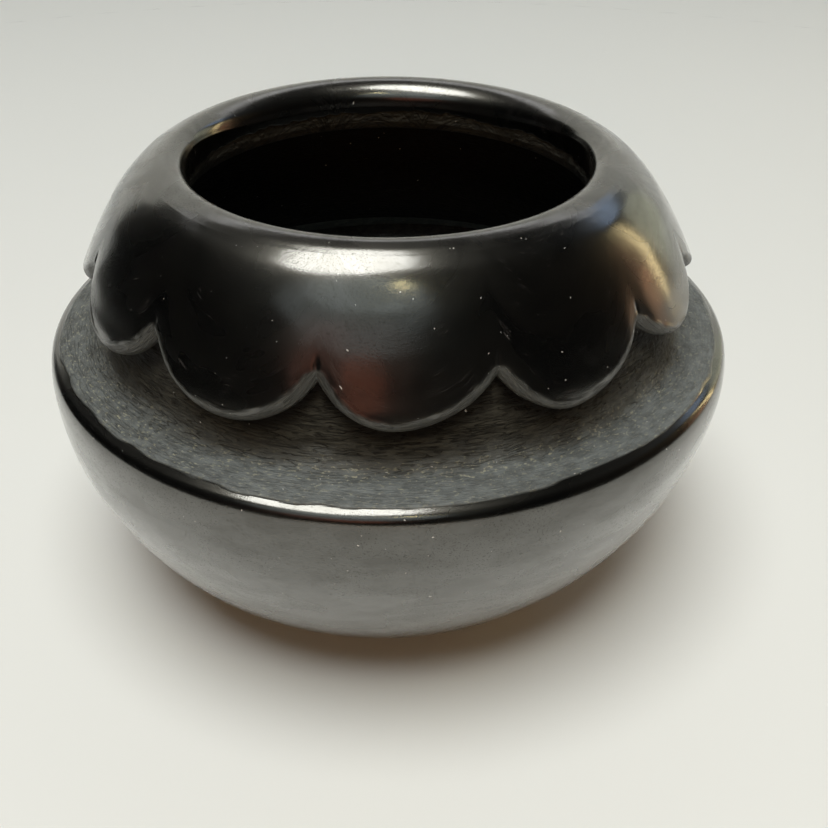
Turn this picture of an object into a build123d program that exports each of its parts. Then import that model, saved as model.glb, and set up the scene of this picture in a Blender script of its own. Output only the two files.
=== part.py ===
"""Small hand-built black clay pot with a scalloped collar.

The pot is made of the clay pieces that a potter forms separately and lutes together before firing:
a base slab, a bowl wall, a shoulder ring, a neck wall, a scalloped collar and a rim coil.  Every
joint is a seat that the next piece drops into: a rabbet, or a tongue in a groove.

Millimetres, +Z up, origin at the centre of the flat base.  Outlines are half sections in the XZ plane,
given as (radius, height) and revolved about Z.
"""

import os
from math import radians, sin

from build123d import *

# Driving dimensions.
BASE_RADIUS = 31.0  # flat that the pot rests on
WALL = 6.0  # clay thickness of the slab and the bowl
BELLY_RADIUS = 69.4  # widest part, just under the ridge
BELLY_HEIGHT = 55.4
RIDGE_HEIGHT = 60.3  # polished ridge, the top of the shoulder ring
LEDGE_OUTER = 66.4  # flat grey ledge, from the ridge in to the neck
LEDGE_INNER = 60.2
LEDGE_HEIGHT = 60.9
COLLAR_RADIUS = 61.8  # lower edge of the collar
RIM_HEIGHT = 95.6
RIM_CREST_RADIUS = 41.6
MOUTH_RADIUS = 39.0
LOBES = 12
LOBE_TIP_HEIGHT = 70.2
NOTCH_HEIGHT = 78.4
EDGE_ROUND = 2.2  # radius of the collar's lower edge
FIRST_NOTCH_ANGLE = -72.3  # degrees from +X

# Joints between the clay pieces.
RABBET = 4.0  # width of the step round the base slab
JOINT_HEIGHT = 50.0  # top of the bowl wall
JOINT_OUTER = 69.1
JOINT_INNER = 63.6
TONGUE_INNER = 65.3
TONGUE_OUTER = 67.3
TONGUE_TOP = 52.0
NECK_SEAT = 57.6  # radius and height of the step that the neck wall stands in
NECK_INNER_FOOT = 54.6

# Curves of the outlines, as (radius, height): Bezier control points and points that a spline passes.
BOWL_OUTER_CONTROLS = ((48.4, 7.5), (66.1, 28.0))
BOWL_INNER_CONTROLS = ((60.7, 30.0), (45.5, 12.8))
RIDGE_SHOULDER = (68.4, 59.1)
COVE_CONTROL = (57.9, 61.3)
NECK_INNER_CONTROLS = ((53.5, 74.0), (48.0, 62.0))
COLLAR_CURVE = ((48.5, 92.3), (52.4, 88.3), (58.1, 79.5))
MOUTH_TOP = (MOUTH_RADIUS, 92.9)  # the mouth's straight wall, below the rounded lip
MOUTH_BOTTOM = (MOUTH_RADIUS, 87.0)
MOUTH_FLARE = (39.9, 85.0)
MOUTH_FLARE_END = (42.0, 84.1)

# Directions of the splines at their ends.
BOWL_SLOPE = (0.135, 1.0)
LEDGE_SLOPE = (-1.0, 0.1)
INNER_SHOULDER_SLOPE = (1.0, -0.35)
COLLAR_TOP_SLOPE = (0.88, -0.47)
COLLAR_EDGE_SLOPE = (0.1, -1.0)
DOWN = (0.0, -1.0)

# Points that two outlines share, as (radius, height).
COVE_TOP = (57.4, 66.0)  # where the neck wall leaves the ledge's cove
COLLAR_FOOT = (56.5, 71.0)  # where the underside of the lobes meets the neck
COLLAR_BEND = (55.0, 80.0)
NECK_TOP = (49.6, 88.0)
NECK_STEP_TOP = (47.3, 88.0)
NECK_STEP = (47.3, 85.4)
NECK_INNER_TOP = (44.6, 85.4)
COLLAR_TOP_INNER = (44.6, 91.8)
COLLAR_TOP = (45.8, 94.1)

os.makedirs("parts", exist_ok=True)

# Base slab: a disc with a step round its upper edge for the bowl wall.
with BuildPart() as base_slab:
    with BuildSketch(Plane.XZ):
        with BuildLine():
            Polyline(
                (0, 0),
                (BASE_RADIUS, 0),
                (BASE_RADIUS, WALL / 2),
                (BASE_RADIUS - RABBET, WALL / 2),
                (BASE_RADIUS - RABBET, WALL),
                (0, WALL),
                close=True,
            )
        make_face()
    revolve(axis=Axis.Z)

# Bowl wall: a round wall from the slab's step to the joint under the ridge, with a tongue on top.
with BuildPart() as bowl_wall:
    with BuildSketch(Plane.XZ):
        with BuildLine():
            Bezier((BASE_RADIUS, 0), *BOWL_OUTER_CONTROLS, (JOINT_OUTER, JOINT_HEIGHT))
            Polyline(
                (JOINT_OUTER, JOINT_HEIGHT),
                (TONGUE_OUTER, JOINT_HEIGHT),
                (TONGUE_OUTER, TONGUE_TOP),
                (TONGUE_INNER, TONGUE_TOP),
                (TONGUE_INNER, JOINT_HEIGHT),
                (JOINT_INNER, JOINT_HEIGHT),
            )
            Bezier((JOINT_INNER, JOINT_HEIGHT), *BOWL_INNER_CONTROLS, (BASE_RADIUS - RABBET, WALL))
            Polyline(
                (BASE_RADIUS - RABBET, WALL),
                (BASE_RADIUS - RABBET, WALL / 2),
                (BASE_RADIUS, WALL / 2),
                (BASE_RADIUS, 0),
            )
        make_face()
    revolve(axis=Axis.Z)

# Shoulder ring: the ridge and the flat ledge, grooved underneath and stepped inside for the neck.
with BuildPart() as shoulder_ring:
    with BuildSketch(Plane.XZ):
        with BuildLine():
            Spline(
                (JOINT_OUTER, JOINT_HEIGHT),
                (BELLY_RADIUS, BELLY_HEIGHT),
                RIDGE_SHOULDER,
                (LEDGE_OUTER, RIDGE_HEIGHT),
                tangents=[BOWL_SLOPE, LEDGE_SLOPE],
            )
            Line((LEDGE_OUTER, RIDGE_HEIGHT), (LEDGE_INNER, LEDGE_HEIGHT))
            Polyline(
                (LEDGE_INNER, LEDGE_HEIGHT),
                (LEDGE_INNER, NECK_SEAT),
                (NECK_SEAT, NECK_SEAT),
                (NECK_SEAT, NECK_INNER_FOOT),
            )
            Spline(
                (NECK_SEAT, NECK_INNER_FOOT),
                (JOINT_INNER, JOINT_HEIGHT),
                tangents=[INNER_SHOULDER_SLOPE, (BOWL_SLOPE[0], -BOWL_SLOPE[1])],
            )
            Polyline(
                (JOINT_INNER, JOINT_HEIGHT),
                (TONGUE_INNER, JOINT_HEIGHT),
                (TONGUE_INNER, TONGUE_TOP),
                (TONGUE_OUTER, TONGUE_TOP),
                (TONGUE_OUTER, JOINT_HEIGHT),
                (JOINT_OUTER, JOINT_HEIGHT),
            )
        make_face()
    revolve(axis=Axis.Z)

# Neck wall: rises in a cove from the ledge, then leans in under the collar to the rim's seat.
with BuildPart() as neck_wall:
    with BuildSketch(Plane.XZ):
        with BuildLine():
            Bezier((LEDGE_INNER, LEDGE_HEIGHT), COVE_CONTROL, COVE_TOP)
            Polyline(
                COVE_TOP,
                COLLAR_FOOT,
                COLLAR_BEND,
                NECK_TOP,
                NECK_STEP_TOP,
                NECK_STEP,
                NECK_INNER_TOP,
            )
            Bezier(NECK_INNER_TOP, *NECK_INNER_CONTROLS, (NECK_SEAT, NECK_INNER_FOOT))
            Polyline(
                (NECK_SEAT, NECK_INNER_FOOT),
                (NECK_SEAT, NECK_SEAT),
                (LEDGE_INNER, NECK_SEAT),
                (LEDGE_INNER, LEDGE_HEIGHT),
            )
        make_face()
    revolve(axis=Axis.Z)

# Scalloped collar: a skirt of clay laid over the neck.  It thickens to a rounded lower edge, and
# pointed notches cut it into lobes.
with BuildPart() as scalloped_collar:
    with BuildSketch(Plane.XZ):
        with BuildLine():
            Spline(
                COLLAR_TOP,
                *COLLAR_CURVE,
                (COLLAR_RADIUS, LOBE_TIP_HEIGHT + EDGE_ROUND),
                tangents=[COLLAR_TOP_SLOPE, COLLAR_EDGE_SLOPE],
            )
            TangentArc(
                (COLLAR_RADIUS, LOBE_TIP_HEIGHT + EDGE_ROUND),
                (COLLAR_RADIUS - EDGE_ROUND, LOBE_TIP_HEIGHT),
                tangent=DOWN,
            )
            Polyline(
                (COLLAR_RADIUS - EDGE_ROUND, LOBE_TIP_HEIGHT),
                COLLAR_FOOT,
                COLLAR_BEND,
                NECK_TOP,
                COLLAR_TOP_INNER,
                COLLAR_TOP,
            )
        make_face()
    revolve(axis=Axis.Z)

    # Between two lobe tips the edge rises along two arcs to the notch, like two parabolas.
    tip_offset = COLLAR_RADIUS * sin(radians(180 / LOBES))
    mid_height = LOBE_TIP_HEIGHT + (NOTCH_HEIGHT - LOBE_TIP_HEIGHT) / 4
    for lobe in range(LOBES):
        notch_angle = FIRST_NOTCH_ANGLE + lobe * 360 / LOBES
        notch_plane = Plane.XZ.rotated((0, 0, notch_angle + 90))
        with BuildSketch(notch_plane):
            with BuildLine():
                ThreePointArc(
                    (0, NOTCH_HEIGHT), (tip_offset / 2, mid_height), (tip_offset, LOBE_TIP_HEIGHT)
                )
                ThreePointArc(
                    (0, NOTCH_HEIGHT), (-tip_offset / 2, mid_height), (-tip_offset, LOBE_TIP_HEIGHT)
                )
                Polyline(
                    (tip_offset, LOBE_TIP_HEIGHT),
                    (tip_offset, LOBE_TIP_HEIGHT - WALL),
                    (-tip_offset, LOBE_TIP_HEIGHT - WALL),
                    (-tip_offset, LOBE_TIP_HEIGHT),
                )
            make_face()
        extrude(amount=COLLAR_RADIUS + WALL, mode=Mode.SUBTRACT)

# Rim coil: the rounded mouth, stepped to sit on the neck and backed by the collar's top edge.
with BuildPart() as rim_coil:
    with BuildSketch(Plane.XZ):
        with BuildLine():
            Spline(
                COLLAR_TOP,
                (RIM_CREST_RADIUS, RIM_HEIGHT),
                MOUTH_TOP,
                tangents=[(-COLLAR_TOP_SLOPE[0], -COLLAR_TOP_SLOPE[1]), DOWN],
            )
            Line(MOUTH_TOP, MOUTH_BOTTOM)
            ThreePointArc(MOUTH_BOTTOM, MOUTH_FLARE, MOUTH_FLARE_END)
            Polyline(
                MOUTH_FLARE_END,
                NECK_INNER_TOP,
                NECK_STEP,
                NECK_STEP_TOP,
                NECK_TOP,
                COLLAR_TOP_INNER,
                COLLAR_TOP,
            )
        make_face()
    revolve(axis=Axis.Z)

base_slab.part.label = "base_slab"
bowl_wall.part.label = "bowl_wall"
shoulder_ring.part.label = "shoulder_ring"
neck_wall.part.label = "neck_wall"
scalloped_collar.part.label = "scalloped_collar"
rim_coil.part.label = "rim_coil"

export_step(base_slab.part, "parts/base_slab.step")
export_step(bowl_wall.part, "parts/bowl_wall.step")
export_step(shoulder_ring.part, "parts/shoulder_ring.step")
export_step(neck_wall.part, "parts/neck_wall.step")
export_step(scalloped_collar.part, "parts/scalloped_collar.step")
export_step(rim_coil.part, "parts/rim_coil.step")
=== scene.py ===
"""Looks for the black clay pot: hand-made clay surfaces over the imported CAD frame, floor, light and camera.

The pot's visible surface is two skins, grids of points turned about Z.  The lower skin runs from the base up
the bowl, over the ridge and the ledge, and up the neck.  The upper skin runs from inside the mouth over the
lip and down the collar to its scalloped edge.  Each skin is cut into the pieces that replace the CAD nodes.
"""

import math

import bpy
import numpy as np
from mathutils import Matrix, Vector


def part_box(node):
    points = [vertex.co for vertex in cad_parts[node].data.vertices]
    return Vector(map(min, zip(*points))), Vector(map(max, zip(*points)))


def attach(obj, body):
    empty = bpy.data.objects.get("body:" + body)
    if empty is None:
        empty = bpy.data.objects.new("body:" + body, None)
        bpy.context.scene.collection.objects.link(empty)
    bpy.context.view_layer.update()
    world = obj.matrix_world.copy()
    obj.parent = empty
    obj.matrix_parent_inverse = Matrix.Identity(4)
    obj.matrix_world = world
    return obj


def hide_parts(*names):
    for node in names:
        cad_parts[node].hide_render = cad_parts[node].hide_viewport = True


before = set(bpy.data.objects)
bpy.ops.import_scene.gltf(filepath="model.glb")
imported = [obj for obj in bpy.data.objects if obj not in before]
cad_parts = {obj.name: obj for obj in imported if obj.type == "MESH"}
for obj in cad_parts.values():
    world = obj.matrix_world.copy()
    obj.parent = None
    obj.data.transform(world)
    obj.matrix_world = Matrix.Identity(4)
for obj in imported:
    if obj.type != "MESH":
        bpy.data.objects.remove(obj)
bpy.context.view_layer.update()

MM = 0.001
TAU = 2 * math.pi

BELLY_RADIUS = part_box("shoulder_ring")[1].x / MM
# Points that the CAD's outlines share, in millimetres, as (radius, height above the base).
BASE_EDGE = (31.0, 0.0)
JOINT = (69.1, 50.0)  # bowl wall to shoulder ring, outside
JOINT_INNER = (63.6, 50.0)
LEDGE_OUTER = (66.4, 60.25)
LEDGE_INNER = (60.2, 60.9)  # shoulder ring to neck wall
COVE_TOP = (57.4, 66.0)
COLLAR_BEND = (55.0, 80.0)
NECK_TOP = (49.6, 88.0)
NECK_INNER_TOP = (44.6, 85.4)  # neck wall to rim coil, inside
COLLAR_TOP_INNER = (44.6, 91.8)
COLLAR_TOP = (45.8, 94.1)  # collar to rim coil
MOUTH_FLARE_END = (42.0, 84.1)
# Seats that are hidden between two pieces.
TONGUE = [(67.3, 50.0), (67.3, 52.0), (65.3, 52.0), (65.3, 50.0), JOINT_INNER]
SLAB_STEP = [(27.0, 6.0), (27.0, 3.0), (31.0, 3.0)]
NECK_SEAT = [(60.2, 57.6), (57.6, 57.6), (57.6, 54.6)]
RIM_SEAT = [NECK_TOP, (47.3, 88.0), (47.3, 85.4), NECK_INNER_TOP]
NECK_FACE = np.array([COLLAR_TOP_INNER, NECK_TOP, COLLAR_BEND, COVE_TOP])  # what the collar lies on

LOBES = 12
NOTCH_HEIGHT = 78.0
FIRST_NOTCH = -72.3  # degrees from +X
# How far each notch is from even spacing, in degrees, and each lobe's lowest height and its lean to one side.
NOTCH_SHIFT = (-0.1, 0.3, -2.4, 1.1, -0.8, 0.6, 1.4, -1.0, 0.5, 0.3, -1.2, 0.5)
LOBE_TIP = (70.0, 71.5, 70.6, 70.2, 71.2, 70.3, 70.8, 70.1, 71.0, 70.6, 69.6, 70.8)
LOBE_LEAN = (-0.1, 0.05, 0.1, -0.08, 0.06, 0.1, -0.05, 0.08, -0.1, 0.06, 0.1, -0.1)
EDGE_ROUND = 2.2  # radius of the collar's cut edge
COLLAR_GIRTH = 59.0  # the collar's usual radius, which turns angles into distances along its edge

SEGMENTS = 1080  # steps round the pot
BOWL_LEAN = 2.2  # how far the bowl's sides rise and sink half way up
NECK_SHADE = 0.2  # the neck's share of the ledge's pale colour


# ---------------------------------------------------------------- curves and unevenness


def bezier(points, count):
    """Points along a Bezier curve of any degree."""
    points = np.array(points, float)
    t = np.linspace(0, 1, count)[:, None]
    degree = len(points) - 1
    return sum(math.comb(degree, k) * t**k * (1 - t) ** (degree - k) * points[k] for k in range(degree + 1))


def line(start, end, count):
    """Evenly spaced points along a straight line."""
    return np.linspace(start, end, count)


def smooth_curve(points, count):
    """Points along a smooth curve through a few outline points (centripetal Catmull-Rom)."""
    p = np.array(points, float)
    p = np.vstack([2 * p[0] - p[1], p, 2 * p[-1] - p[-2]])
    knots = np.concatenate([[0], np.cumsum(np.sqrt(np.linalg.norm(np.diff(p, axis=0), axis=1)))])
    out = []
    for t in np.linspace(knots[1], knots[-2], count):
        k = min(max(np.searchsorted(knots, t, side="right") - 1, 1), len(p) - 3)
        t0, t1, t2, t3 = knots[k - 1 : k + 3]
        a1 = ((t1 - t) * p[k - 1] + (t - t0) * p[k]) / (t1 - t0)
        a2 = ((t2 - t) * p[k] + (t - t1) * p[k + 1]) / (t2 - t1)
        a3 = ((t3 - t) * p[k + 1] + (t - t2) * p[k + 2]) / (t3 - t2)
        b1 = ((t2 - t) * a1 + (t - t0) * a2) / (t2 - t0)
        b2 = ((t3 - t) * a2 + (t - t1) * a3) / (t3 - t1)
        out.append(((t2 - t) * b1 + (t - t1) * b2) / (t2 - t1))
    return np.array(out)


def path(*stretches):
    """One outline from several stretches of points, without the points they share."""
    rows = [np.array(stretches[0], float)]
    for stretch in stretches[1:]:
        stretch = np.array(stretch, float)
        rows.append(stretch[1:] if np.allclose(rows[-1][-1], stretch[0]) else stretch)
    return np.vstack(rows)


def lengths(outline):
    """Distance along an outline from its first point to each of its points."""
    return np.concatenate([[0], np.cumsum(np.linalg.norm(np.diff(outline, axis=0), axis=1))])


def blend(low, high, value):
    """Rises smoothly from 0 where the value is low to 1 where it is high."""
    t = np.clip((value - low) / (high - low), 0, 1)
    return t * t * (3 - 2 * t)


def ripple(angle, lowest, highest, seed):
    """An uneven line round the pot, about -1 to 1, made of waves of lowest to highest turns."""
    random = np.random.RandomState(seed)
    total = np.zeros_like(angle)
    power = 0.0
    for turns in range(lowest, highest + 1):
        size = random.uniform(0.4, 1.0) / turns
        total = total + size * np.sin(turns * angle + random.uniform(0, TAU))
        power += size * size / 2
    return total / (2.2 * math.sqrt(power))


def patches(angle, along, around, tall, seed):
    """Smooth uneven patches, about -1 to 1: around of them in a turn, each tall millimetres high."""
    random = np.random.RandomState(seed)
    lattice = random.uniform(-1, 1, (around, 400))
    u = (angle / TAU * around) % around
    v = along / tall + 20
    iu, iv = np.floor(u).astype(int), np.floor(v).astype(int)
    fu, fv = u - iu, v - iv
    fu, fv = fu * fu * (3 - 2 * fu), fv * fv * (3 - 2 * fv)

    def corner(a, b):
        return lattice[(iu + a) % around, (iv + b) % 400]

    low = corner(0, 0) * (1 - fu) + corner(1, 0) * fu
    high = corner(0, 1) * (1 - fu) + corner(1, 1) * fu
    return low * (1 - fv) + high * fv


# ---------------------------------------------------------------- from outlines to meshes


def hand_made(points):
    """Moves points of the ideal round pot to the slightly uneven one, the same for every piece."""
    x, y, z = points[..., 0], points[..., 1], points[..., 2]
    angle = np.arctan2(y, x)
    lean = BOWL_LEAN * blend(0, 14, z) * (1 - blend(44, 58, z)) * x / BELLY_RADIUS
    swell = 1 - 0.0014 * (1 + ripple(angle, 2, 5, 11)) - 0.0004 * (1 + ripple(angle, 6, 14, 12))
    return np.stack([x * swell, y * swell, z + lean], -1)


def round_grid(radius, height, turn):
    """Points from radii, heights and angles."""
    return np.stack([radius * np.cos(turn), radius * np.sin(turn), height + 0 * turn], -1)


def turned(outline, angle):
    """The grid of points [step round the pot, step along the outline, xyz] of an outline turned about Z."""
    return round_grid(outline[None, :, 0], outline[None, :, 1], angle[:, None])


def grid_normals(grid):
    """Unit normals of a grid that closes round the pot, on the right of the outline's direction."""
    around = np.roll(grid, -1, 0) - np.roll(grid, 1, 0)
    along = np.gradient(grid, axis=1)
    normal = np.cross(around, along)
    return normal / np.maximum(np.linalg.norm(normal, axis=-1, keepdims=True), 1e-9)


class Skin:
    """A run of visible surface that several pieces share, with its normals, so that seams don't show."""

    def __init__(self, grid, polish, pale):
        self.grid = hand_made(grid)
        self.normals = grid_normals(self.grid)
        self.polish = polish
        self.pale = pale

    def piece(self, name, first, last, hidden, inside, slot, node):
        """A closed mesh: this skin's rows first to last, then hidden rows back, as pale as inside says."""
        seen = last + 1 - first
        grid = np.concatenate([self.grid[:, first : last + 1], hand_made(hidden)], axis=1)
        turns, rows = grid.shape[:2]
        i = np.arange(turns)[:, None]
        j = np.arange(rows)[None, :]
        corners = [
            i * rows + j,
            (i + 1) % turns * rows + j,
            (i + 1) % turns * rows + (j + 1) % rows,
            i * rows + (j + 1) % rows,
        ]
        quads = np.stack(corners, -1).reshape(-1, 4)
        mesh = bpy.data.meshes.new(name)
        mesh.vertices.add(turns * rows)
        mesh.vertices.foreach_set("co", (grid * MM).astype(np.float32).ravel())
        mesh.loops.add(quads.size)
        mesh.loops.foreach_set("vertex_index", quads.ravel().astype(np.int32))
        mesh.polygons.add(len(quads))
        mesh.polygons.foreach_set("loop_start", np.arange(0, quads.size, 4, dtype=np.int32))
        mesh.polygons.foreach_set("loop_total", np.full(len(quads), 4, dtype=np.int32))
        mesh.polygons.foreach_set("use_smooth", np.ones(len(quads), dtype=bool))
        mesh.update()
        start = np.linalg.norm(np.diff(self.grid[:, : first + 1], axis=1), axis=-1).sum(1, keepdims=True)
        on = start + np.cumsum(np.linalg.norm(np.diff(grid, axis=1), axis=-1), axis=1)
        marks = {"along": np.concatenate([start, on], axis=1)}
        for key, values, unseen in (("polish", self.polish, 0.0), ("pale", self.pale, inside)):
            marks[key] = np.full((turns, rows), unseen)
            marks[key][:, :seen] = values[:, first : last + 1]
        for key, values in marks.items():
            attribute = mesh.attributes.new(key, "FLOAT", "POINT")
            attribute.data.foreach_set("value", values.astype(np.float32).ravel())
        normals = np.zeros_like(grid)
        normals[:, :seen] = self.normals[:, first : last + 1]
        mesh.normals_split_custom_set_from_vertices(normals.reshape(-1, 3))
        piece = bpy.data.objects.new(name, mesh)
        bpy.context.scene.collection.objects.link(piece)
        mesh.materials.append(clay)
        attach(piece, "root")
        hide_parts(node)
        return piece


# ---------------------------------------------------------------- materials


class Graph:
    """Short ways to add and join shader nodes."""

    def __init__(self, name):
        self.material = bpy.data.materials.new(name)
        self.material.use_nodes = True
        self.tree = self.material.node_tree
        self.shader = self.tree.nodes["Principled BSDF"]

    def put(self, socket, value):
        """Joins a node's output to a socket, or sets the socket to a plain value."""
        if isinstance(value, bpy.types.NodeSocket):
            self.tree.links.new(value, socket)
        else:
            socket.default_value = value

    def node(self, kind, **settings):
        node = self.tree.nodes.new(kind)
        for key, value in settings.items():
            setattr(node, key, value)
        return node

    def math(self, operation, *values):
        node = self.node("ShaderNodeMath", operation=operation)
        for socket, value in zip(node.inputs, values):
            self.put(socket, value)
        return node.outputs[0]

    def place(self, across, along, shift=0.0):
        """Texture coordinates, in counts per millimetre across the pot and along its outline."""
        where = self.node("ShaderNodeTexCoord").outputs["Object"]
        parts = self.node("ShaderNodeSeparateXYZ")
        self.put(parts.inputs[0], where)
        stroke = self.node("ShaderNodeAttribute", attribute_name="along").outputs["Fac"]
        joined = self.node("ShaderNodeCombineXYZ")
        self.put(joined.inputs[0], self.math("MULTIPLY", parts.outputs[0], across / MM))
        self.put(joined.inputs[1], self.math("MULTIPLY", parts.outputs[1], across / MM))
        self.put(joined.inputs[2], self.math("MULTIPLY_ADD", stroke, along, shift))
        return joined.outputs[0]

    def noise(self, vector, detail=2.0, rough=0.5):
        node = self.node("ShaderNodeTexNoise")
        self.put(node.inputs["Vector"], vector)
        self.put(node.inputs["Scale"], 1.0)
        self.put(node.inputs["Detail"], detail)
        self.put(node.inputs["Roughness"], rough)
        return node.outputs["Fac"]

    def ramp(self, value, low, high, start=0.0, end=1.0):
        """Goes smoothly from start where the value is low to end where it is high."""
        node = self.node("ShaderNodeMapRange", clamp=True, interpolation_type="SMOOTHSTEP")
        self.put(node.inputs["Value"], value)
        for key, number in (("From Min", low), ("From Max", high), ("To Min", start), ("To Max", end)):
            self.put(node.inputs[key], number)
        return node.outputs["Result"]

    def mix(self, factor, a, b):
        node = self.node("ShaderNodeMix", data_type="RGBA")
        self.put(node.inputs["Factor"], factor)
        sockets = [s for s in node.inputs if s.type == "RGBA"]
        for socket, value in zip(sockets, (a, b)):
            self.put(socket, (*value, 1) if isinstance(value, tuple) else value)
        return [s for s in node.outputs if s.type == "RGBA"][0]

    def bump(self, height, distance, before=None):
        node = self.node("ShaderNodeBump")
        self.put(node.inputs["Height"], height)
        self.put(node.inputs["Distance"], distance * MM)
        if before is not None:
            self.put(node.inputs["Normal"], before)
        return node.outputs["Normal"]

    def scratches(self, across, along, shift, width, cover):
        """Thin broken lines: 1 on a scratch."""
        wander = self.noise(self.place(across, along, shift), 1.0)
        near = self.math("ABSOLUTE", self.math("SUBTRACT", wander, 0.5))
        thin = self.ramp(near, 0.0, width, 1.0, 0.0)
        broken = self.noise(self.place(0.25, 0.25, shift), 1.0)
        return self.math("MULTIPLY", thin, self.ramp(broken, cover, cover + 0.05))


def clay_material():
    """Burnished where the mesh says polish; elsewhere raw, from near-black painted shade through the neck's
    brown to the ledge's pale grey.
    """
    g = Graph("clay")
    polish = g.node("ShaderNodeAttribute", attribute_name="polish").outputs["Fac"]
    pale = g.node("ShaderNodeAttribute", attribute_name="pale").outputs["Fac"]
    broad = g.noise(g.place(0.05, 0.09), 3.0)
    mottle = g.noise(g.place(0.35, 0.5, 5.0), 3.0, 0.6)
    stroke = g.noise(g.place(0.12, 1.4), 2.0)
    sparkle = g.noise(g.place(4.0, 5.0, 2.0), 1.0, 0.6)
    tool = g.noise(g.place(0.30, 2.2), 3.0, 0.7)
    crumbs = g.noise(g.place(1.0, 1.6, 9.0), 3.0, 0.7)
    raw_cover = g.math("SUBTRACT", 1.0, polish)
    cuts = g.math("MULTIPLY", g.scratches(0.04, 0.9, 3.1, 0.006, 0.60), 0.35)
    deep = g.math("SUBTRACT", 1.0, g.math("MULTIPLY", pale, 0.85))
    cracks = g.math("MULTIPLY", g.scratches(0.20, 1.5, 7.7, 0.045, 0.40), g.math("MULTIPLY", raw_cover, deep))
    dashes = g.math("MULTIPLY", g.scratches(0.10, 1.6, 12.3, 0.010, 0.66), 0.5)
    dust = g.ramp(g.noise(g.place(1.5, 1.5), 0.0), 0.865, 0.89)
    # The ledge's grey is its own colour, tinted blue as painted reflection of the window light.
    raw = g.mix(g.ramp(mottle, 0.35, 0.65), (0.085, 0.093, 0.088), (0.128, 0.142, 0.136))
    from_cove = g.math("ABSOLUTE", g.math("SUBTRACT", pale, 0.7))
    gritty = g.math("MULTIPLY", g.ramp(crumbs, 0.55, 0.68), g.ramp(from_cove, 0.1, 0.45, 1.0, 0.12))
    raw = g.mix(gritty, raw, (0.30, 0.30, 0.22))
    # The neck's brown is its own colour, made darker than the ledge as painted shade under the collar's
    # overhang.
    neck = g.mix(g.ramp(tool, 0.35, 0.65), (0.014, 0.013, 0.010), (0.042, 0.041, 0.032))
    raw = g.mix(g.ramp(pale, NECK_SHADE, 1.0), neck, raw)
    # Painted shade: where pale is below the neck's share the clay goes near-black, under the lobes, on the
    # collar's underside and inside the neck.
    raw = g.mix(g.ramp(pale, 0.0, NECK_SHADE), (0.004, 0.003, 0.002), raw)
    raw = g.mix(cracks, raw, (0.010, 0.008, 0.006))
    fine = g.mix(g.ramp(broad, 0.35, 0.7), (0.0006, 0.0007, 0.0008), (0.0016, 0.0015, 0.0014))
    fine = g.mix(g.math("MAXIMUM", cuts, dashes), fine, (0.10, 0.095, 0.09))
    colour = g.mix(dust, g.mix(polish, raw, fine), (0.40, 0.40, 0.37))
    rough_raw = g.ramp(tool, 0.3, 0.7, 0.38, 0.62)
    rough_fine = g.ramp(broad, 0.3, 0.7, 0.25, 0.30)
    rough = g.math("ADD", rough_raw, g.math("MULTIPLY", polish, g.math("SUBTRACT", rough_fine, rough_raw)))
    g.put(g.shader.inputs["Base Color"], colour)
    g.put(g.shader.inputs["Roughness"], rough)
    g.put(g.shader.inputs["IOR"], g.ramp(polish, 0.0, 1.0, 1.45, 1.7))
    shine = g.math("MAXIMUM", g.ramp(pale, 0.0, 0.7, 0.08, 0.5), g.math("MULTIPLY", polish, 0.5))
    g.put(g.shader.inputs["Specular IOR Level"], shine)
    smudge = g.noise(g.place(0.10, 0.22, 15.0), 4.0, 0.65)
    pits = g.ramp(g.noise(g.place(3.0, 3.4, 18.0), 1.0), 0.60, 0.68, 1.0, 0.35)
    clean = g.math("MULTIPLY", g.ramp(smudge, 0.35, 0.60, 0.72, 1.0), pits)
    g.put(g.shader.inputs["Coat Weight"], g.math("MULTIPLY", polish, clean))
    g.put(g.shader.inputs["Specular Tint"], g.mix(polish, (1.0, 1.0, 1.0), (1.0, 0.96, 0.84)))
    g.put(g.shader.inputs["Coat IOR"], 1.75)
    g.put(g.shader.inputs["Coat Roughness"], g.ramp(broad, 0.3, 0.7, 0.075, 0.11))
    relief = g.math("SUBTRACT", g.math("MULTIPLY_ADD", crumbs, 0.5, tool), cracks)
    normal = g.bump(g.math("MULTIPLY", relief, raw_cover), 0.28)
    normal = g.bump(sparkle, 0.010, g.bump(stroke, 0.006, normal))
    g.put(g.shader.inputs["Normal"], normal)
    g.put(g.shader.inputs["Coat Normal"], normal)
    return g.material


clay = clay_material()

# ---------------------------------------------------------------- the collar's edge, all the way round

# Turns round the pot, in steps that are closer together at the notches, and how far across its lobe each
# step is, from -1 at one notch to 1 at the next.
notch = np.radians(FIRST_NOTCH + 360 / LOBES * np.arange(LOBES) + np.array(NOTCH_SHIFT))
step = np.linspace(0, 1, SEGMENTS // LOBES, endpoint=False)
step = step - 0.45 * np.sin(TAU * step) / TAU
spans = np.diff(np.append(notch, notch[0] + TAU))
turn = np.concatenate([notch[k] + spans[k] * step for k in range(LOBES)])
across = np.tile(step * 2 - 1, LOBES)
tip = np.repeat(LOBE_TIP, len(step))
across = across - np.repeat(LOBE_LEAN, len(step)) * (1 - across**2)
edge_height = tip + (NOTCH_HEIGHT - tip) * across**2

# ---------------------------------------------------------------- lower skin: bowl, ridge, ledge and neck

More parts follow.
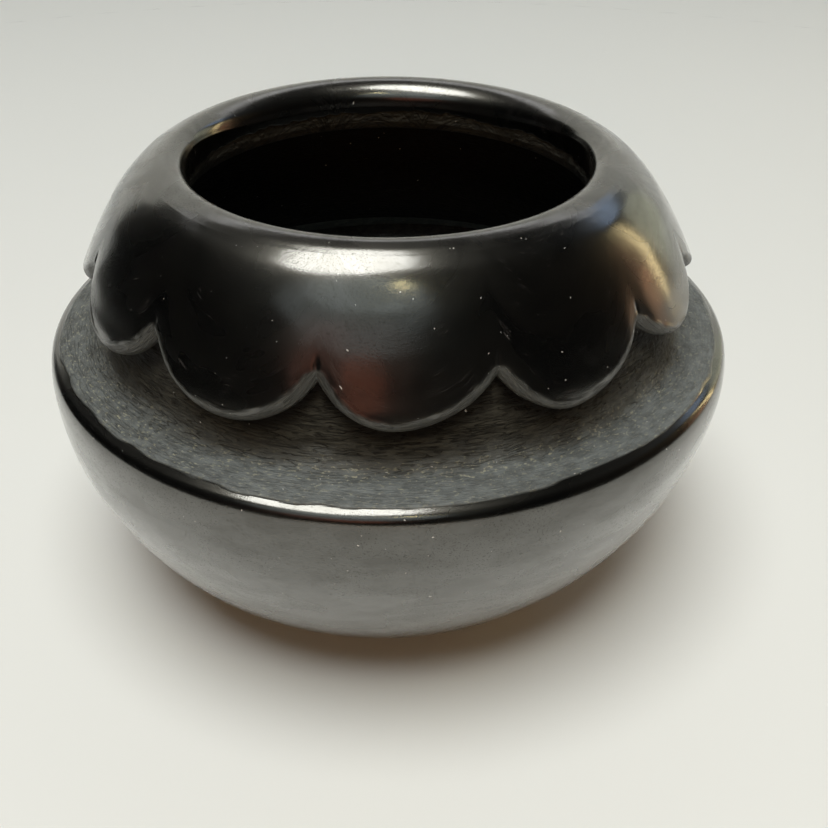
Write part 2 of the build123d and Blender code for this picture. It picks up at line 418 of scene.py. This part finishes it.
angle = np.linspace(0, TAU, SEGMENTS, endpoint=False)
bowl = bezier([BASE_EDGE, (48.4, 7.5), (66.1, 28.0), JOINT], 76)
ridge_top = [(69.2, 57.4), (68.8, 58.6), (68.2, 59.3), (67.2, 59.85)]
ridge = smooth_curve([JOINT, (69.35, 52.6), (69.4, 55.4), *ridge_top, LEDGE_OUTER], 48)
ledge = line(LEDGE_OUTER, LEDGE_INNER, 18)
cove = bezier([LEDGE_INNER, (57.9, 61.3), COVE_TOP], 22)
low_outline = path(bowl, ridge, ledge, cove, line(COVE_TOP, COLLAR_BEND, 50))
bowl_end = len(bowl) - 1
ring_end = bowl_end + len(ridge) - 1 + len(ledge) - 1
low_grid = turned(low_outline, angle)
along = lengths(low_outline)[None, :] + 0 * angle[:, None]
spin = angle[:, None] + 0 * along
ring_top = along[0, ring_end]  # where the ledge meets the neck

# Tool marks and lumps on the neck, soft lumps on the burnished clay and rough clay on the ledge's right.
on_wall = blend(ring_top - 1.0, ring_top + 3.0, along)
marks = patches(spin, along, 70, 0.9, 21) + 0.6 * patches(spin, along, 150, 0.55, 22)
lumps = patches(spin, along, 26, 5.0, 23)
relief = on_wall * (0.14 * marks + 0.18 * lumps)
relief += (1 - on_wall) * blend(0, 3, along) * 0.05 * patches(spin, along, 22, 12.0, 24)
rough_side = blend(0.1, 0.8, np.cos(spin + 0.75)) * blend(ring_top - 5.0, ring_top - 2.0, along)
relief += 0.11 * rough_side * patches(spin, along, 420, 0.8, 28)

# The burnish ends in a worn line on the ridge.
radius = np.hypot(low_grid[..., 0], low_grid[..., 1])
worn = 0.35 * patches(spin, along, 90, 1.0, 25) + 0.25 * ripple(spin, 3, 20, 26)
polish = np.where(along > lengths(low_outline)[bowl_end], blend(66.65, 67.0, radius + worn), 1.0)

# Bare clay: pale on the ledge, brown on the neck, and painted shade close under the lobes, where the neck
# goes near-black.
below = np.interp(spin, turn, edge_height, period=TAU) - low_grid[..., 2]
uneven = 1.5 * patches(spin, along, 60, 2.5, 27)
# Painted shade: the neck darkens to near-black within a few millimetres under the lobes' edge.
pale = NECK_SHADE * blend(1.0, 8.0, below + uneven)
pale += (1 - pale) * (1 - blend(ring_top - 3.5, ring_top + 7.5, along + uneven))
pale *= 1 - 0.22 * blend(0.2, 0.9, -np.cos(spin))
low = Skin(low_grid + grid_normals(low_grid) * relief[..., None], polish, pale)

# Each piece's hidden rows: the seat at its top, its inside and the seat at its foot.
burnished = "burnished_clay"
bowl_inside = bezier([JOINT_INNER, (60.7, 30.0), (45.5, 12.8), SLAB_STEP[0]], 10)
bowl_back = turned(path(TONGUE, bowl_inside, SLAB_STEP), angle)
low.piece("bowl_wall_burnished", 0, bowl_end, bowl_back, 1.0, burnished, "bowl_wall")
ring_inside = smooth_curve([NECK_SEAT[-1], (61.5, 52.9), JOINT_INNER], 6)
ring_back = turned(path(NECK_SEAT, ring_inside, TONGUE[::-1]), angle)
low.piece("shoulder_ring_ridge", bowl_end, ring_end, ring_back, 1.0, burnished, "shoulder_ring")
neck_inside = bezier([NECK_INNER_TOP, (53.5, 74.0), (48.0, 62.0), NECK_SEAT[-1]], 14)
neck_back = turned(path(RIM_SEAT, neck_inside, NECK_SEAT[::-1]), angle)
# The neck's inside is painted near-black (inside 0.04), as shade inside the pot.
low.piece("neck_wall_matte", ring_end, len(low_outline) - 1, neck_back, 0.04, "matte_clay", "neck_wall")

# ---------------------------------------------------------------- upper skin: mouth, lip and scalloped collar


def rim_outline(flare, lip):
    """From inside the neck out to the mouth's wall, straight up it and over the lip to the collar."""
    return path(
        smooth_curve([MOUTH_FLARE_END, *flare], 10),
        line(flare[-1], lip[0], 32),
        smooth_curve([*lip, COLLAR_TOP], 34),
    )


# The mouth's inner edge is thin at the front and the sides, and fat at the back.
thin_lip = [(39.0, 92.9), (39.9, 94.65), (41.9, 95.5), (44.1, 94.95)]
thin_rim = rim_outline([(39.9, 85.0), (39.0, 87.0)], thin_lip)
fat_lip = [(36.9, 90.4), (37.4, 92.4), (38.5, 93.8), (40.1, 94.85), (41.9, 95.35), (43.9, 95.0)]
fat_rim = rim_outline([(38.8, 85.0), (37.6, 86.6)], fat_lip)
rim_end = len(thin_rim) - 1
collar_top = [COLLAR_TOP, (48.5, 92.3), (52.4, 88.3), (55.8, 83.4), (58.1, 79.5)]
collar_foot = [(59.8, 76.1), (61.0, 73.6), (61.9, 70.9), (62.5, 68.6)]
collar_line = smooth_curve(collar_top + collar_foot, 300)

# The mouth and lip: burnished down to a ragged line, rough and a little hollow below it.
fat = blend(0.1, 0.9, np.sin(turn))[:, None]
rim_r = thin_rim[None, :, 0] * (1 - fat) + fat_rim[None, :, 0] * fat
rim_z = thin_rim[None, :, 1] * (1 - fat) + fat_rim[None, :, 1] * fat
around = turn[:, None] + 0 * rim_z
ragged = 88.5 + 0.7 * fat + 0.30 * ripple(around, 5, 30, 41) + 0.35 * patches(around, 0 * rim_z, 160, 1.0, 42)
rim_polish = blend(-0.1, 0.1, rim_z - ragged)
inside_lip = rim_r < 41
rim_polish = np.where(inside_lip, rim_polish, 1.0)
crumbs = 0.5 * patches(around, rim_z, 140, 0.7, 43) + 0.5 * patches(around, rim_z, 260, 0.45, 44)
rim_r = rim_r + (1 - rim_polish) * (0.25 + 0.22 * crumbs) * blend(84.5, 86.0, rim_z)

# Rows of the collar from the lip down to the cut edge, closer together there, and how far each point is
# from that edge.
arc = lengths(collar_line)
end = np.interp(-edge_height, -collar_line[:, 1], arc)
rows = 1 - (1 - np.linspace(0, 1, 71)[1:]) ** 1.7
down = end[:, None] * rows[None, :]
gap = np.full(down.shape, 1e9)
reach = 40  # steps round the pot, within which the nearest part of the edge lies
for k in range(-reach, reach + 1):
    sideways = COLLAR_GIRTH * ((np.roll(turn, -k) - turn + math.pi) % TAU - math.pi)
    gap = np.minimum(gap, np.hypot(sideways[:, None], down - np.roll(end, -k)[:, None]))

# The edge rolls under, more on one side of each lobe than on the other.
roll = EDGE_ROUND + 0.7 * np.sin(across * math.pi) * (1 - across**2) + 0.2 * ripple(turn, 8, 40, 33)
roll = roll[:, None]
near = np.minimum(gap, roll)
sink = roll - np.sqrt(roll**2 - (roll - near) ** 2)

# The crease that runs up from each notch, and the soft hollow around it.
from_notch = np.abs((turn[:, None] - notch[None, :] + math.pi) % TAU - math.pi).min(1)[:, None] * COLLAR_GIRTH
above = np.interp(-NOTCH_HEIGHT, -collar_line[:, 1], arc) - down
hollow = 0.55 * np.exp(-((from_notch / 2.6) ** 2)) * np.exp(-np.clip(above, 0, None) / 3.0)
crease = 0.16 * np.exp(-((from_notch / 0.45) ** 2)) * (1 - blend(2.5, 5.0, above))
waves = 0.06 * patches(turn[:, None] + 0 * down, down, 20, 9.0, 31) * blend(0, 3, down)
depth = sink + hollow + crease - waves
slope_r, slope_z = np.gradient(collar_line[:, 0], arc), np.gradient(collar_line[:, 1], arc)
skin_r = np.interp(down, arc, collar_line[:, 0]) + np.interp(down, arc, slope_z) * depth
skin_z = np.interp(down, arc, collar_line[:, 1]) - np.interp(down, arc, slope_r) * depth


def neck_radius(height):
    """Radius of the neck's outside, which the collar lies on."""
    return np.interp(-height, -NECK_FACE[:, 1], NECK_FACE[:, 0])


# The underside rolls on under the edge and in to the neck; the back lies on the neck up to the rim.
edge_r, edge_z = skin_r[:, -1:], skin_z[:, -1:]
under = np.linspace(0, 1, 9)[None, 1:]
under_z = edge_z - 0.25 * np.sin(under * math.pi) + 0.7 * under
under_r = edge_r + (neck_radius(edge_z + 0.7) - 0.05 - edge_r) * under
back_z = under_z[:, -1:] + (COLLAR_TOP_INNER[1] - under_z[:, -1:]) * np.linspace(0, 1, 8)[None, 1:]
skin = np.concatenate(
    [
        round_grid(rim_r, rim_z, turn[:, None]),
        round_grid(skin_r, skin_z, turn[:, None]),
        round_grid(under_r, under_z, turn[:, None]),
    ],
    axis=1,
)[:, ::-1]
polish = np.ones(skin.shape[:2])
polish[:, -rim_end - 1 :] = rim_polish[:, ::-1]
on_collar = slice(under_r.shape[1], under_r.shape[1] + gap.shape[1])
wear = 0.35 * patches(turn[:, None] + 0 * gap, down, 220, 1.2, 34) + 0.3 * ripple(turn, 20, 60, 35)[:, None]
edge_polish = 0.25 + 0.75 * blend(0.1, 1.5, gap - 0.4 * roll + wear)
polish[:, on_collar] = edge_polish[:, ::-1]
polish[:, : under_r.shape[1]] = 0.0
pale = np.full(polish.shape, 0.28)
pale[:, on_collar] = 0.45
# The collar's underside is painted dark, as shade under the lobes.
pale[:, : under_r.shape[1]] = 0.1
rim_start = skin.shape[1] - 1 - rim_end
upper = Skin(skin, polish, pale)
rim_back = turned(np.array([*RIM_SEAT[::-1], COLLAR_TOP_INNER]), turn)
collar_back = round_grid(neck_radius(back_z), back_z, turn[:, None])[:, ::-1]
upper.piece("scalloped_collar_burnished", 0, rim_start, collar_back, 0.0, burnished, "scalloped_collar")
upper.piece("rim_coil_burnished", rim_start, skin.shape[1] - 1, rim_back, 0.0, burnished, "rim_coil")

# The base slab keeps its CAD mesh.
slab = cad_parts["base_slab"]
slab.data.materials.clear()
slab.data.materials.append(clay)

# ---------------------------------------------------------------- floor, light and camera


def paper():
    """Plain pale paper for the floor."""
    g = Graph("floor_paper")
    g.put(g.shader.inputs["Base Color"], (0.785, 0.808, 0.765, 1))
    g.put(g.shader.inputs["Roughness"], 0.7)
    return g.material


def plain_grey():
    """An even grey for the backdrop, as bright as the floor is where the two meet."""
    g = Graph("backdrop_grey")
    g.put(g.shader.inputs["Base Color"], (0.0, 0.0, 0.0, 1))
    g.put(g.shader.inputs["Specular IOR Level"], 0.0)
    g.put(g.shader.inputs["Emission Color"], (0.97, 1.0, 0.95, 1))
    g.put(g.shader.inputs["Emission Strength"], 0.33)
    return g.material


def sheet(name, start, end, outline, material, hidden_from=()):
    """A stage piece: an outline in metres turned about Z between two azimuths (0 is the camera's side)."""
    azimuth = np.radians(np.linspace(start, end, round((end - start) / 3) + 1))[:, None]
    r, z = np.array(outline).T
    points = np.stack([r * np.sin(azimuth), -r * np.cos(azimuth), z + 0 * azimuth], -1)
    count = len(r)
    faces = [
        (i * count + j, (i + 1) * count + j, (i + 1) * count + j + 1, i * count + j + 1)
        for i in range(len(azimuth) - 1)
        for j in range(count - 1)
    ]
    mesh = bpy.data.meshes.new(name)
    mesh.from_pydata(points.reshape(-1, 3).tolist(), [], faces)
    mesh.update()
    stage = bpy.data.objects.new(name, mesh)
    bpy.context.scene.collection.objects.link(stage)
    mesh.materials.append(material)
    for rays in hidden_from:
        setattr(stage, "visible_" + rays, False)


# A wide floor that the gloss doesn't mirror far out on the left, and a pale screen that only the gloss sees.
floor_paper = paper()
far = [(0.5, 0.0), (4.0, 0.0)]
sheet("floor", 0, 360, [(0.001, 0.0), far[0]], floor_paper)
sheet("floor_far", -28, 232, far, floor_paper)
sheet("floor_side", 232, 332, far, floor_paper, hidden_from=("glossy",))
bend = np.radians(np.linspace(0, 90, 13))
screen = np.stack([0.70 + 0.25 * np.sin(bend), 0.25 * (1 - np.cos(bend))], -1)
screen = path(screen, [(0.95, 0.95)])
sheet("screen", 137, 228, screen, floor_paper, hidden_from=("camera", "diffuse", "shadow"))
# A backdrop that only the camera sees, far behind the pot.
backdrop = [(1.6, 0.0), (1.6, 2.5)]
camera_only = ("diffuse", "glossy", "transmission", "shadow")
sheet("backdrop", 0, 360, backdrop, plain_grey(), hidden_from=camera_only)


LIGHT_AIM = 0.07  # height that the lights look at, in metres


def soft_light(name, azimuth, elevation, distance, size, power, colour=(1, 1, 1), shine=True, fill=True):
    """A flat light, sized in metres, that looks at the pot from an azimuth and elevation in degrees."""
    data = bpy.data.lights.new(name, "AREA")
    data.shape = "ELLIPSE"
    data.size, data.size_y = size
    data.energy = power
    data.color = colour
    lamp = bpy.data.objects.new(name, data)
    bpy.context.scene.collection.objects.link(lamp)
    a, e = math.radians(azimuth), math.radians(elevation)
    toward = Vector((math.sin(a) * math.cos(e), -math.cos(a) * math.cos(e), math.sin(e)))
    lamp.location = toward * distance + Vector((0, 0, LIGHT_AIM))
    lamp.rotation_euler = toward.to_track_quat("Z", "Y").to_euler()
    lamp.visible_camera = False
    lamp.visible_glossy = shine
    lamp.visible_diffuse = fill


# Light that falls on the clay and the floor.
soft_light("main", -13, 73, 1.4, (1.0, 1.0), 18.4, shine=False)
soft_light("throat", -6, 57, 1.4, (0.35, 0.35), 2.6, shine=False)
soft_light("low_fill", -4, 16, 1.2, (0.5, 0.3), 2.8, (1.0, 0.62, 0.33), shine=False)
# Lights that the burnish mirrors; the ones without fill=False light the rest a little too.
soft_light("key", -72, 79, 1.4, (0.64, 0.84), 12.4, (1.0, 1.0, 0.95), fill=False)
soft_light("glow", -14, 59, 1.4, (0.9, 0.65), 0.8, (0.9, 1.0, 1.0), fill=False)
soft_light("haze", -16, 49, 1.4, (1.3, 1.0), 1.3, (0.9, 1.0, 1.0), fill=False)
soft_light("lamp", 8, 62, 1.4, (0.11, 0.09), 0.3, (1.0, 0.85, 0.4))
soft_light("sky", 180, 50, 1.6, (2.8, 0.36), 3.4)
soft_light("window", 130, 31, 1.2, (0.46, 0.20), 0.27, (0.55, 0.72, 1.0))
soft_light("doorway", 129, 9, 1.0, (0.36, 0.50), 0.34, (0.93, 0.95, 0.74), fill=False)
soft_light("warm_strip", 114.5, 12, 0.8, (0.05, 0.45), 0.30, (1.0, 0.80, 0.42))
soft_light("warm_side", 108, 11, 0.8, (0.16, 0.40), 0.05, (1.0, 0.5, 0.33))
soft_light("warm_spot", 105, 3, 0.8, (0.22, 0.13), 0.035, (1.0, 0.6, 0.35))
soft_light("ember", 107, 6, 0.8, (0.022, 0.022), 0.003, (1.0, 0.25, 0.08))
soft_light("warm_front", -10, 22, 1.0, (0.28, 0.30), 0.075, (1.0, 0.30, 0.17))
soft_light("warm_near", -24, 26, 1.0, (0.30, 0.40), 0.050, (1.0, 0.40, 0.3))
soft_light("warm_wide", -16, 28, 1.0, (0.80, 0.60), 0.08, (1.0, 0.6, 0.45))

world = bpy.data.worlds.new("studio")
world.use_nodes = True
world.node_tree.nodes["Background"].inputs["Color"].default_value = (1.0, 0.97, 0.92, 1)
world.node_tree.nodes["Background"].inputs["Strength"].default_value = 0.003
bpy.context.scene.world = world

CAMERA_PLACE = (0, -0.20384, 0.17192)
CAMERA_PITCH = math.radians(34.32)
CAMERA_PAN = math.radians(1.47)
CAMERA_ROLL = math.radians(-0.33)

camera_data = bpy.data.cameras.new("camera")
camera_data.sensor_width = 36.0
camera_data.lens = 47.83
camera_data.clip_start = 0.01
camera = bpy.data.objects.new("camera", camera_data)
bpy.context.scene.collection.objects.link(camera)
camera.location = CAMERA_PLACE
aim = Matrix.Rotation(-CAMERA_PAN, 4, "Z") @ Matrix.Rotation(math.pi / 2 - CAMERA_PITCH, 4, "X")
camera.rotation_euler = (aim @ Matrix.Rotation(-CAMERA_ROLL, 4, "Z")).to_euler()
bpy.context.scene.camera = camera
bpy.context.scene.view_settings.view_transform = "Standard"
bpy.context.scene.cycles.use_denoising = True
